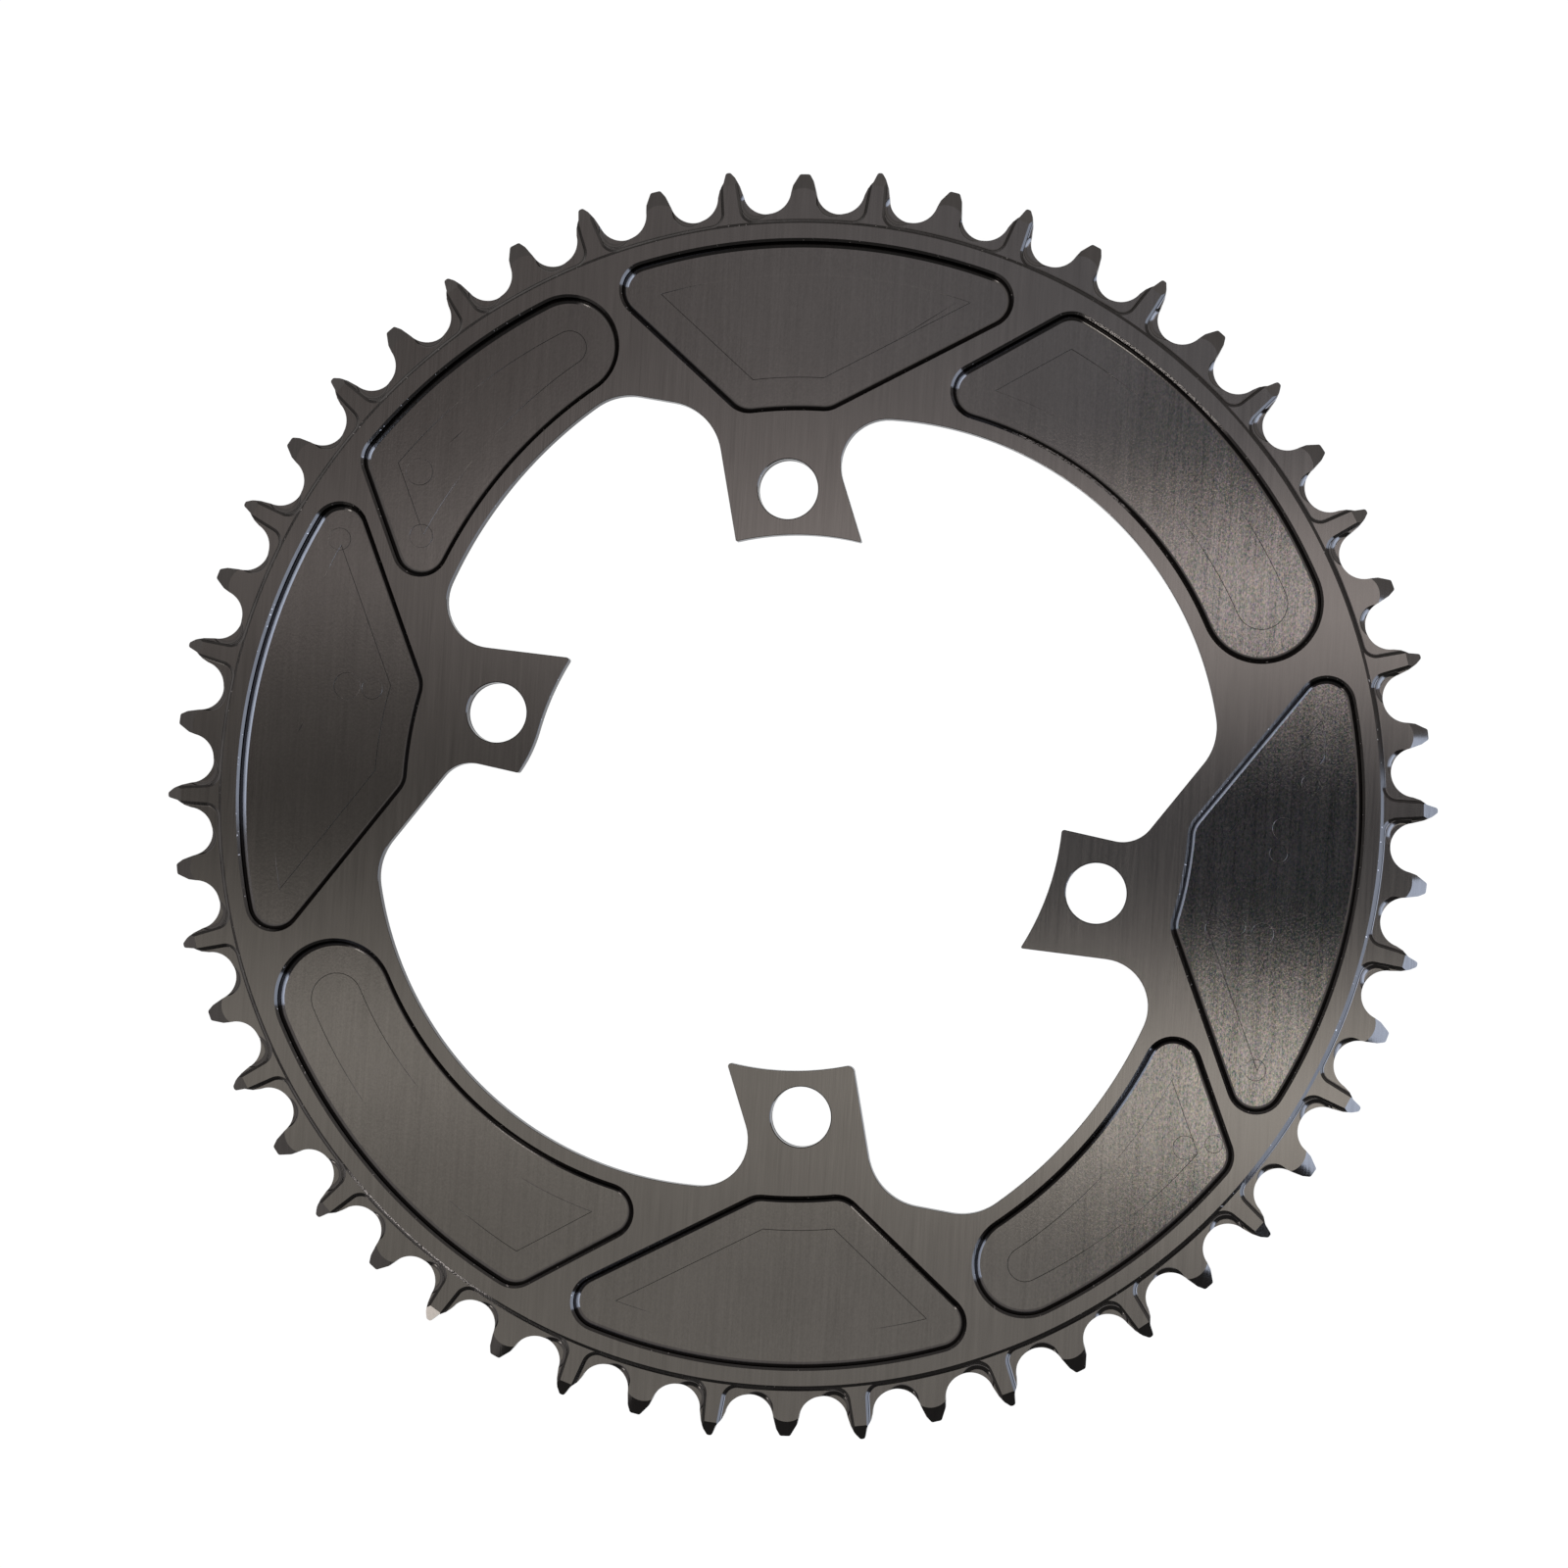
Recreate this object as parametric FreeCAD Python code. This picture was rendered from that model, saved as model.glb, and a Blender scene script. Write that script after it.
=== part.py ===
import FreeCAD, Part
import math
import os

# Narrow-wide bicycle chainring, machined from one aluminium plate.
# The origin is the centre of the bolt circle on the flat back face; +Z points out of the front face.
# Sizes are millimetres. Angles are degrees, counter-clockwise from +X when the front is looked at.
# The whole part repeats after half a turn, so each pocket and tab is described once for both halves.

# Chain and tooth ring
CHAIN_PITCH = 12.7
TOOTH_COUNT = 52
TOOTH_PHASE = 0.08
SEAT_RADIUS = 4.22
SEAT_HALF_WRAP = 80.0

# Tooth outlines above the roller seats, as (along the pitch circle clockwise, above the pitch circle)
WIDE_OUTLINE = [(-1.72, 0.58), (-0.92, 1.66), (-0.38, 3.50), (0.37, 3.50), (1.10, 2.50), (1.70, 1.16)]
NARROW_OUTLINE = [(-1.85, 0.58), (-0.68, 2.53), (0.98, 2.53), (1.65, 1.33)]

# Thickness levels, from the back face up
PLATE_THICKNESS = 3.8
RIM_STEP = 0.45
RECESS_DEPTH = 0.65

# Steps and ribs of the tooth ring
FACE_SETBACK = 1.60
RECESS_SETBACK = 1.25
RECESS_CORNER_RADIUS = 2.6
RIB_TIP_HALF_WIDTH = 0.80
RIB_ROOT_HALF_WIDTH = 1.50

# Bevels of the tooth tips
WIDE_BEVEL_HEIGHT = 1.10
WIDE_TIP_THICKNESS = 1.0
NARROW_BEVEL_HEIGHT = -0.15
NARROW_TIP_THICKNESS = 0.9

# Bolt holes: two pairs on one circle, at one angle each side of the Y axis
BOLT_CIRCLE_RADIUS = 53.5
BOLT_HALF_SPREAD = 36.0
BOLT_HOLE_RADIUS = 5.15

# Blind pockets in the front face. Those of the upper half lead by a small angle, and the lower ones lag.
POCKET_DEPTH = 2.4
POCKET_CORNER_RADIUS = 5.0
POCKET_FOOT = 0.9
RIM_LAND = 2.86
FAN_BEHIND_BOLT = 13.4
POCKET_LEAD = 0.28

# Fan pockets, each behind one bolt: angles from that bolt of the right and left sides
UPPER_FAN = {"outer": (-28.69, 19.61), "inner": (-6.64, 6.62)}
LOWER_FAN = {"outer": (-20.40, 33.45), "inner": (-1.26, 13.66)}

# Arc pockets: inner wall's centre (distance, angle), round end's radius and angle,
# rib to the fan pocket after it, and how far that rib opens towards its root
LONG_ARC = {"centre": (13.18, -13.23), "end_radius": 10.4, "end_angle": -14.2, "rib": 2.9, "opening": 1.7}
SHORT_ARC = {"centre": (11.43, -5.51), "end_radius": 8.93, "end_angle": 79.31, "rib": 2.1, "opening": 0.0}

# Central opening with its four bolt tabs
ARC_WALL = 2.4
TAB_BEYOND_BOLT = 7.8
UPPER_TAB = {"corners": (-15.80, 11.50), "leans": (15.7, 8.3), "roots": (8.0, 10.0)}
LOWER_TAB = {"corners": (-16.03, 10.98), "leans": (9.6, 4.0), "roots": (8.0, 6.0)}
LONG_LOBE_ANGLE = -33.13
LONG_LOBE_RUN = 13.6
SHORT_LOBE_ANGLE = 84.89
SHORT_LOBE_RUN = 132.5
LOBE_CORNER_RADIUS = 10.0
BACK_CHAMFER = 1.2

# One tab alone, at the second bolt, has its left corner trimmed off by an arc: the angle from the bolt
# where the arc leaves the tab's end, and its radius
CORNER_TRIM = {"start": 1.2, "radius": 22.5}

# Clearance by which every cutting shape stands out of the plate
OVERCUT = 1.0

# Sizes worked out from those above
HALF_TURN = 180.0
GAP_ANGLE = 360.0 / TOOTH_COUNT
PITCH_RADIUS = CHAIN_PITCH / (2.0 * math.sin(math.radians(GAP_ANGLE / 2.0)))
ROOT_RADIUS = PITCH_RADIUS - SEAT_RADIUS
FACE_RADIUS = ROOT_RADIUS - FACE_SETBACK
RECESS_RADIUS = ROOT_RADIUS - RECESS_SETBACK
WIDE_TOP = PLATE_THICKNESS - RIM_STEP
NARROW_TOP = WIDE_TOP - RECESS_DEPTH
MIDDLE = WIDE_TOP / 2.0
WIDE_TIP_HEIGHT = max(height for along, height in WIDE_OUTLINE)
NARROW_TIP_HEIGHT = max(height for along, height in NARROW_OUTLINE)
TIP_RADIUS = PITCH_RADIUS + max(WIDE_TIP_HEIGHT, NARROW_TIP_HEIGHT)
POCKET_RADIUS = FACE_RADIUS - RIM_LAND
FAN_INNER_RADIUS = BOLT_CIRCLE_RADIUS + FAN_BEHIND_BOLT
TAB_RADIUS = BOLT_CIRCLE_RADIUS - TAB_BEYOND_BOLT
POCKET_FLOOR = PLATE_THICKNESS - POCKET_DEPTH
UPPER_BOLT = 90.0 - BOLT_HALF_SPREAD
LOWER_BOLT = 90.0 + BOLT_HALF_SPREAD


def polar(radius, angle, centre=(0.0, 0.0)):
    turn = math.radians(angle)
    return (centre[0] + radius * math.cos(turn), centre[1] + radius * math.sin(turn))


def vector(point, z=0.0):
    return FreeCAD.Vector(point[0], point[1], z)


def angle_of(point, centre=(0.0, 0.0)):
    return math.degrees(math.atan2(point[1] - centre[1], point[0] - centre[0]))


def distance(first, second):
    return math.hypot(second[0] - first[0], second[1] - first[1])


def near_tooth(tooth_angle, along, height):
    """A point given along the pitch circle, clockwise, and above it."""
    return polar(PITCH_RADIUS + height, tooth_angle - math.degrees(along / PITCH_RADIUS))


def line_meets_circle(start, direction, centre, radius):
    """Where the line through start, followed along the given angle, leaves a circle."""
    step = polar(1.0, direction)
    offset = (start[0] - centre[0], start[1] - centre[1])
    half = offset[0] * step[0] + offset[1] * step[1]
    inside = half * half - (offset[0] ** 2 + offset[1] ** 2) + radius * radius
    travel = -half + math.sqrt(inside)
    return (start[0] + travel * step[0], start[1] + travel * step[1])


def line_meets_line(start, direction, other_start, other_direction):
    step = polar(1.0, direction)
    other = polar(1.0, other_direction)
    gap = (other_start[0] - start[0], other_start[1] - start[1])
    travel = (gap[0] * other[1] - gap[1] * other[0]) / (step[0] * other[1] - step[1] * other[0])
    return (start[0] + travel * step[0], start[1] + travel * step[1])


def arc_edge(start, end, centre, forward, z):
    """An arc about a centre, counter-clockwise if forward."""
    sweep = (angle_of(end, centre) - angle_of(start, centre)) % 360.0
    if not forward:
        sweep -= 360.0
    middle = polar(distance(centre, start), angle_of(start, centre) + sweep / 2.0, centre)
    return Part.Arc(vector(start, z), vector(middle, z), vector(end, z)).toShape()


def outline_edge(node, following, z):
    """One side of an outline. A node is a dict: at, radius, and about and forward where an arc follows."""
    if "about" in node:
        return arc_edge(node["at"], following["at"], node["about"], node["forward"], z)
    return Part.LineSegment(vector(node["at"], z), vector(following["at"], z)).toShape()


def outline_prism(nodes, bottom, top):
    """A prism over an outline, its upright edges rounded by the radius of each corner."""
    following = nodes[1:] + nodes[:1]
    wire = Part.Wire([outline_edge(node, after, bottom) for node, after in zip(nodes, following)])
    prism = Part.Face(wire).extrude(FreeCAD.Vector(0, 0, top - bottom))
    for node in nodes:
        if node.get("radius"):
            corner = vector(node["at"], (bottom + top) / 2.0)
            upright = min(prism.Edges, key=lambda edge: edge.CenterOfMass.distanceToPoint(corner))
            prism = prism.makeFillet(node["radius"], [upright])
    return prism


def turned(shape, angle):
    copy = shape.copy()
    copy.rotate(FreeCAD.Vector(0, 0, 0), FreeCAD.Vector(0, 0, 1), angle)
    return copy


def mirrored_to_back(shape):
    """The same cut from the other side of the tooth ring's middle plane."""
    return shape.mirror(FreeCAD.Vector(0, 0, MIDDLE), FreeCAD.Vector(0, 0, 1))


def turned_blank():
    """The turned disc: the full plate, with the step down to the tooth ring round its front."""
    plate = Part.makeCylinder(FACE_RADIUS, PLATE_THICKNESS)
    return plate.fuse(Part.makeCylinder(TIP_RADIUS, WIDE_TOP))


def seat_end(gap_angle, side):
    """Where a roller seat ends, on its clockwise (-1) or counter-clockwise (+1) side."""
    centre = polar(PITCH_RADIUS, gap_angle)
    return polar(SEAT_RADIUS, gap_angle + HALF_TURN - side * SEAT_HALF_WRAP, centre)


def toothed_outline():
    """The round outline of all the teeth, tip after tip, with a roller seat in each gap."""
    nodes = []
    for index in range(TOOTH_COUNT):
        tooth_angle = TOOTH_PHASE + GAP_ANGLE * (index + 0.5)
        before = tooth_angle - GAP_ANGLE / 2.0
        after = tooth_angle + GAP_ANGLE / 2.0
        profile = WIDE_OUTLINE if index % 2 == 0 else NARROW_OUTLINE
        nodes.append({"at": seat_end(before, 1)})
        for along, height in reversed(profile):
            nodes.append({"at": near_tooth(tooth_angle, along, height)})
        nodes.append({"at": seat_end(after, -1), "about": polar(PITCH_RADIUS, after), "forward": False})
    return nodes


def rib_recess(corner_radius):
    """The cut from one wide tooth's rib to the next, which leaves the narrow tooth between them thin."""
    first = TOOTH_PHASE + GAP_ANGLE / 2.0
    last = first + 2.0 * GAP_ANGLE
    root_height = RECESS_RADIUS - PITCH_RADIUS
    clear_height = TIP_RADIUS - PITCH_RADIUS + OVERCUT
    inner_start = near_tooth(first, -RIB_ROOT_HALF_WIDTH, root_height)
    inner_end = near_tooth(last, RIB_ROOT_HALF_WIDTH, root_height)
    nodes = [
        {"at": inner_end, "radius": corner_radius, "about": (0.0, 0.0), "forward": False},
        {"at": inner_start, "radius": corner_radius},
        {"at": near_tooth(first, -RIB_TIP_HALF_WIDTH, clear_height), "about": (0.0, 0.0), "forward": True},
        {"at": near_tooth(last, RIB_TIP_HALF_WIDTH, clear_height)},
    ]
    return outline_prism(nodes, NARROW_TOP, PLATE_THICKNESS + OVERCUT)


def tip_bevel(start_height, tip_height, top, tip_thickness):
    """The wedge that thins a tooth's tip, made on +X and as wide as the metal between two seats."""
    start = PITCH_RADIUS + start_height
    tip = PITCH_RADIUS + tip_height
    slope = (top - MIDDLE - tip_thickness / 2.0) / (tip - start)
    end = tip + OVERCUT
    width = CHAIN_PITCH - SEAT_RADIUS
    section = [(start, top), (end, top - slope * (end - start)), (end, top + OVERCUT), (start, top + OVERCUT)]
    points = [FreeCAD.Vector(radius, -width / 2.0, height) for radius, height in section]
    return Part.Face(Part.makePolygon(points + points[:1])).extrude(FreeCAD.Vector(0, width, 0))


def tooth_ring(blank):
    """The blank with its teeth cut, then thinned between the ribs and bevelled from both sides."""
    ring = blank.common(outline_prism(toothed_outline(), -OVERCUT, PLATE_THICKNESS + OVERCUT))
    wide_angle = TOOTH_PHASE + GAP_ANGLE / 2.0
    wide_bevel = turned(tip_bevel(WIDE_BEVEL_HEIGHT, WIDE_TIP_HEIGHT, WIDE_TOP, WIDE_TIP_THICKNESS), wide_angle)
    narrow_bevel = turned(
        tip_bevel(NARROW_BEVEL_HEIGHT, NARROW_TIP_HEIGHT, NARROW_TOP, NARROW_TIP_THICKNESS),
        wide_angle - GAP_ANGLE,
    )
    front_cuts = [rib_recess(RECESS_CORNER_RADIUS), wide_bevel, narrow_bevel]
    back_cuts = [mirrored_to_back(cut) for cut in (rib_recess(0.0), wide_bevel, narrow_bevel)]
    step = 2.0 * GAP_ANGLE
    turns = [step * index for index in range(TOOTH_COUNT // 2)]
    return ring.cut([turned(cut, turn) for turn in turns for cut in front_cuts + back_cuts])


def fan_corners(fan, fan_angle, side):
    """Outer and inner corner of a fan pocket's right (0) or left (1) side."""
    outer = polar(POCKET_RADIUS, fan_angle + fan["outer"][side])
    inner = polar(FAN_INNER_RADIUS, fan_angle + fan["inner"][side])
    return outer, inner


def fan_pocket(fan, fan_angle):
    outer_right, inner_right = fan_corners(fan, fan_angle, 0)
    outer_left, inner_left = fan_corners(fan, fan_angle, 1)
    nodes = [
        {"at": outer_right, "about": (0.0, 0.0), "forward": True},
        {"at": outer_left},
        {"at": inner_left, "about": (0.0, 0.0), "forward": False},
        {"at": inner_right},
    ]
    for node in nodes:
        node["radius"] = POCKET_CORNER_RADIUS
    return pocket(nodes)


def arc_inner_radius(arc):
    """Radius of an arc pocket's inner wall, so that its round end touches both walls."""
    end_centre = polar(POCKET_RADIUS - arc["end_radius"], arc["end_angle"])
    return distance(polar(*arc["centre"]), end_centre) - arc["end_radius"]


def arc_pocket(arc, fan, fan_angle):
    """A pocket between two arcs, round at one end and cut straight beside the fan pocket at the other."""
    wall_centre = polar(*arc["centre"])
    wall_radius = arc_inner_radius(arc)
    end_centre = polar(POCKET_RADIUS - arc["end_radius"], arc["end_angle"])
    end_inner = polar(wall_radius, angle_of(end_centre, wall_centre), wall_centre)
    fan_outer, fan_inner = fan_corners(fan, fan_angle, 0)
    side_angle = angle_of(fan_outer, fan_inner)
    beside = polar(arc["rib"], side_angle - 90.0, fan_outer)
    corner = line_meets_circle(beside, side_angle, (0.0, 0.0), POCKET_RADIUS)
    root_angle = side_angle + HALF_TURN + arc["opening"]
    length = distance(corner, beside) + distance(fan_outer, fan_inner)
    inside = polar(length, root_angle, corner)
    inner_corner = line_meets_circle(inside, root_angle + HALF_TURN, wall_centre, wall_radius)
    nodes = [
        {"at": polar(POCKET_RADIUS, arc["end_angle"]), "about": (0.0, 0.0), "forward": True},
        {"at": corner, "radius": POCKET_CORNER_RADIUS},
        {"at": inner_corner, "radius": POCKET_CORNER_RADIUS, "about": wall_centre, "forward": False},
        {"at": end_inner, "about": end_centre, "forward": True},
    ]
    return pocket(nodes)


def pocket(nodes):
    """A blind pocket from its floor up through the front face, with a bevelled foot to its wall."""
    body = outline_prism(nodes, POCKET_FLOOR, PLATE_THICKNESS + OVERCUT)
    foot = [edge for edge in body.Edges if abs(edge.CenterOfMass.z - POCKET_FLOOR) < 1e-6]
    return body.makeChamfer(POCKET_FOOT, foot)


def half_of_pockets(lead):
    """The four pockets of the upper half, with their straight sides turned by the lead."""
    upper = UPPER_BOLT + lead
    lower = LOWER_BOLT + lead
    return [
        fan_pocket(UPPER_FAN, upper),
        fan_pocket(LOWER_FAN, lower),
        arc_pocket(LONG_ARC, UPPER_FAN, upper),
        arc_pocket(SHORT_ARC, LOWER_FAN, lower),
    ]


def tab_corner(tab, bolt_angle, side):
    return polar(TAB_RADIUS, bolt_angle + tab["corners"][side])


def half_of_opening():
    """Half of the opening's outline: two arcs and a straight run between two tabs."""
    long_centre = polar(*LONG_ARC["centre"])
    long_radius = arc_inner_radius(LONG_ARC) - ARC_WALL
    short_centre = polar(*SHORT_ARC["centre"])
    short_radius = arc_inner_radius(SHORT_ARC) - ARC_WALL
    long_start = polar(long_radius, LONG_LOBE_ANGLE, long_centre)
    short_start = polar(short_radius, SHORT_LOBE_ANGLE, short_centre)
    next_start = (-long_start[0], -long_start[1])

    upper_right = tab_corner(UPPER_TAB, UPPER_BOLT, 0)
    upper_left = tab_corner(UPPER_TAB, UPPER_BOLT, 1)
    lower_right = tab_corner(LOWER_TAB, LOWER_BOLT, 0)
    lower_left = tab_corner(LOWER_TAB, LOWER_BOLT, 1)
    lean = [UPPER_BOLT + angle for angle in UPPER_TAB["leans"]]
    lower_lean = [LOWER_BOLT + angle for angle in LOWER_TAB["leans"]]

    return [
        {"at": long_start, "radius": LOBE_CORNER_RADIUS, "about": long_centre, "forward": True},
        {"at": line_meets_circle(upper_right, lean[0], long_centre, long_radius), "radius": UPPER_TAB["roots"][0]},
        {"at": upper_right, "about": (0.0, 0.0), "forward": True},
        {"at": upper_left},
        {"at": line_meets_line(upper_left, lean[1], short_start, SHORT_LOBE_RUN), "radius": UPPER_TAB["roots"][1]},
        {"at": short_start, "radius": LOBE_CORNER_RADIUS, "about": short_centre, "forward": True},
        {"at": line_meets_circle(lower_right, lower_lean[0], short_centre, short_radius),
         "radius": LOWER_TAB["roots"][0]},
        {"at": lower_right, "about": (0.0, 0.0), "forward": True},
        {"at": lower_left},
        {"at": line_meets_line(lower_left, lower_lean[1], next_start, LONG_LOBE_RUN), "radius": LOWER_TAB["roots"][1]},
    ]


def half_turned(nodes):
    partners = []
    for node in nodes:
        partner = dict(node)
        partner["at"] = (-node["at"][0], -node["at"][1])
        if "about" in node:
            partner["about"] = (-node["about"][0], -node["about"][1])
        partners.append(partner)
    return partners


def trimmed_corner(full_corner):
    """The two nodes that take a full corner's place: where the trimming arc starts, and where it ends."""
    start_angle = LOWER_BOLT + CORNER_TRIM["start"]
    start = polar(TAB_RADIUS, start_angle)
    centre = polar(TAB_RADIUS + CORNER_TRIM["radius"], start_angle)
    inwards = LOWER_BOLT + LOWER_TAB["leans"][1] + HALF_TURN
    end = line_meets_circle(full_corner, inwards, centre, CORNER_TRIM["radius"])
    return [{"at": start, "about": centre, "forward": False}, {"at": end}]


def central_opening():
    """The opening through the plate, with its four tabs."""
    half = half_of_opening()
    full_corner = tab_corner(LOWER_TAB, LOWER_BOLT, 1)
    first_half = []
    for node in half:
        first_half += trimmed_corner(full_corner) if node["at"] == full_corner else [node]
    return outline_prism(first_half + half_turned(half), -OVERCUT, PLATE_THICKNESS + OVERCUT)


def bolt_holes():
    angles = [UPPER_BOLT, LOWER_BOLT, UPPER_BOLT + HALF_TURN, LOWER_BOLT + HALF_TURN]
    height = PLATE_THICKNESS + 2.0 * OVERCUT
    return [
        Part.makeCylinder(BOLT_HOLE_RADIUS, height, vector(polar(BOLT_CIRCLE_RADIUS, angle), -OVERCUT))
        for angle in angles
    ]


def chamfer_back_of_opening(plate):
    """The opening's edge on the back face is chamfered, so that the wall seen from the front is thinner."""
    reach = FAN_INNER_RADIUS + POCKET_CORNER_RADIUS + POCKET_CORNER_RADIUS
    edges = []
    for edge in plate.Edges:
        points = [vertex.Point for vertex in edge.Vertexes]
        flat = all(abs(point.z) < 1e-6 for point in points) and abs(edge.CenterOfMass.z) < 1e-6
        inside = all(math.hypot(point.x, point.y) < reach for point in points)
        if flat and inside and len(points) == 2:
            edges.append(edge)
    return plate.makeChamfer(BACK_CHAMFER, edges)


def chainring():
    pockets = half_of_pockets(POCKET_LEAD)
    pockets += [turned(shape, HALF_TURN) for shape in half_of_pockets(-POCKET_LEAD)]
    plate = tooth_ring(turned_blank()).cut(pockets + [central_opening()])
    plate = chamfer_back_of_opening(plate)
    plate = plate.cut(bolt_holes())
    return plate.Solids[0]


os.makedirs("parts", exist_ok=True)
chainring().exportStep(os.path.join("parts", "chainring.step"))
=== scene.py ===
# %% [markdown]
# # A narrow-wide bicycle chainring
# A chainring is one plate of dark anodised aluminium. It could be modelled face by face, but each edge of
# the real one was left by a cutter. So this lesson turns a blank and mills it as the maker did, and every
# fillet and broken edge lies where it belongs.

import cmath
import math

import bpy
import numpy as np
from mathutils import Matrix, Vector


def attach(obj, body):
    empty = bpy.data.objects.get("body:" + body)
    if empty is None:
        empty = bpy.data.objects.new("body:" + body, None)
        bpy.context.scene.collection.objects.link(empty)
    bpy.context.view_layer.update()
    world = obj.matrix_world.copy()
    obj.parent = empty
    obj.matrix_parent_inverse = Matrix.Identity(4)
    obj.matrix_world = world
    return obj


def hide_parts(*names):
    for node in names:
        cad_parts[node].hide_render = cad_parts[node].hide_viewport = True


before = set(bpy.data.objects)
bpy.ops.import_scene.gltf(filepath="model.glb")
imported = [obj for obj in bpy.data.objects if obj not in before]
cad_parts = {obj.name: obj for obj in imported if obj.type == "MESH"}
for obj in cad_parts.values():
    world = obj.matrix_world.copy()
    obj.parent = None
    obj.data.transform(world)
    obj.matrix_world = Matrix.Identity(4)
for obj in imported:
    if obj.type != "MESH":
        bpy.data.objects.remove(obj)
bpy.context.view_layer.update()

# %% [markdown]
# ## Main sizes
# Sizes are millimetres until the finished mesh is scaled. Angles are degrees, counter-clockwise from +X
# when the front is looked at. Pitch and tooth count give the pitch circle. The names and values of the main
# forms are the ones of the CAD source.

# %% Main sizes
CHAIN_PITCH = 12.7
TOOTH_COUNT = 52
TOOTH_PHASE = 0.08
SEAT_RADIUS = 4.22
PLATE_THICKNESS = 3.8
RIM_STEP = 0.45
FACE_SETBACK = 1.60
OVERCUT = 1.0

GAP_ANGLE = 360.0 / TOOTH_COUNT
PITCH_RADIUS = CHAIN_PITCH / (2.0 * math.sin(math.radians(GAP_ANGLE / 2.0)))
ROOT_RADIUS = PITCH_RADIUS - SEAT_RADIUS
FACE_RADIUS = ROOT_RADIUS - FACE_SETBACK
WIDE_TOP = PLATE_THICKNESS - RIM_STEP
MIDDLE = WIDE_TOP / 2.0
print(f"pitch circle {2.0 * PITCH_RADIUS:.1f} mm, teeth {WIDE_TOP:.2f} mm thick")

# %% [markdown]
# ## Outlines
# Points of the plan are complex numbers, so a turn is a product and a quarter turn is 1j. A side of an
# outline is a straight line or an arc. Every side can be shifted sideways, and the corners between shifted
# sides are worked out again. That is how a cutter's path is offset, and it gives all the fillets below.


# %% Points and sides
def polar(radius, angle, centre=0j):
    return centre + cmath.rect(radius, math.radians(angle))


def circle(radius, count, centre=0j):
    return [polar(radius, 360.0 * index / count, centre) for index in range(count)]


def unit(vector):
    return vector / abs(vector)


def straight(start, end):
    return {"start": start, "along": unit(end - start)}


def shifted(side, left):
    if "along" in side:
        return {**side, "start": side["start"] + 1j * left * side["along"]}
    return {**side, "radius": side["radius"] - left * side["sense"]}


def foot(side, point):
    """The nearest point of a side."""
    if "along" in side:
        travel = ((point - side["start"]) * side["along"].conjugate()).real
        return side["start"] + travel * side["along"]
    return side["centre"] + side["radius"] * unit(point - side["centre"])


def heading(side, point):
    if "along" in side:
        return side["along"]
    return 1j * side["sense"] * unit(point - side["centre"])


print("a quarter turn from 1 lies", circle(1.0, 4)[1])

# %% [markdown]
# Two straight sides meet in one point, and other sides in two. A hint near the wanted point picks one of
# them. Where a ray crosses a circle for the last time, the hint lies far away.


# %% Where sides meet
def meeting(first, second, hint):
    """Where two sides meet, nearest to the hint."""
    if "along" in first and "along" in second:
        gap = second["start"] - first["start"]
        cross = (first["along"].conjugate() * second["along"]).imag
        return first["start"] + first["along"] * (gap.conjugate() * second["along"]).imag / cross
    if "along" in second:
        first, second = second, first
    if "along" in first:
        base = foot(first, second["centre"])
        reach = cmath.sqrt(max(second["radius"] ** 2 - abs(base - second["centre"]) ** 2, 0.0)).real
        choices = [base - reach * first["along"], base + reach * first["along"]]
    else:
        gap = second["centre"] - first["centre"]
        run = (first["radius"] ** 2 - second["radius"] ** 2 + abs(gap) ** 2) / (2.0 * abs(gap))
        reach = math.sqrt(max(first["radius"] ** 2 - run ** 2, 0.0))
        choices = [first["centre"] + (run + sign * 1j * reach) * unit(gap) for sign in (-1, 1)]
    return min(choices, key=lambda choice: abs(choice - hint))


def ray(start, angle):
    return straight(start, start + polar(1.0, angle))


def crossing(start, angle, centre, radius):
    """Where a ray from start along the given angle crosses a circle for the last time."""
    far_away = start + polar(1000.0, angle)
    return meeting(ray(start, angle), {"centre": centre, "radius": radius, "sense": 1}, far_away)


print("a ray along +X leaves the face at", crossing(0j, 0.0, 0j, FACE_RADIUS))

# %% [markdown]
# An outline is a list of nodes: each has its corner's place, the radius that rounds it, and a centre where
# an arc follows. It runs counter-clockwise. Growing it moves every side outwards by the same distance: outer
# corners get a larger radius and inner corners a smaller one. The number of points doesn't depend on how
# far it grows, so outlines at different heights can be joined into walls.

# %% Outlines with rounded corners
SIDE_STEP = 1.2
CORNER_STEPS = 16
SMOOTH_TURN = 0.02
SHARPEST_RADIUS = 0.02


def sides_of(nodes):
    sides = []
    for node, after in zip(nodes, nodes[1:] + nodes[:1]):
        if "about" in node:
            sense = 1 if node["forward"] else -1
            radius = abs(node["at"] - node["about"])
            sides.append({"centre": node["about"], "radius": radius, "sense": sense})
        else:
            sides.append(straight(node["at"], after["at"]))
    return sides


def swept(centre, start, end, sense, steps):
    """Points on an arc, both ends included."""
    sweep = cmath.phase((end - centre) / (start - centre))
    if sense * sweep < -1e-9:
        sweep += sense * 2.0 * math.pi
    return [centre + (start - centre) * cmath.rect(1.0, sweep * step / steps) for step in range(steps + 1)]


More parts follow.
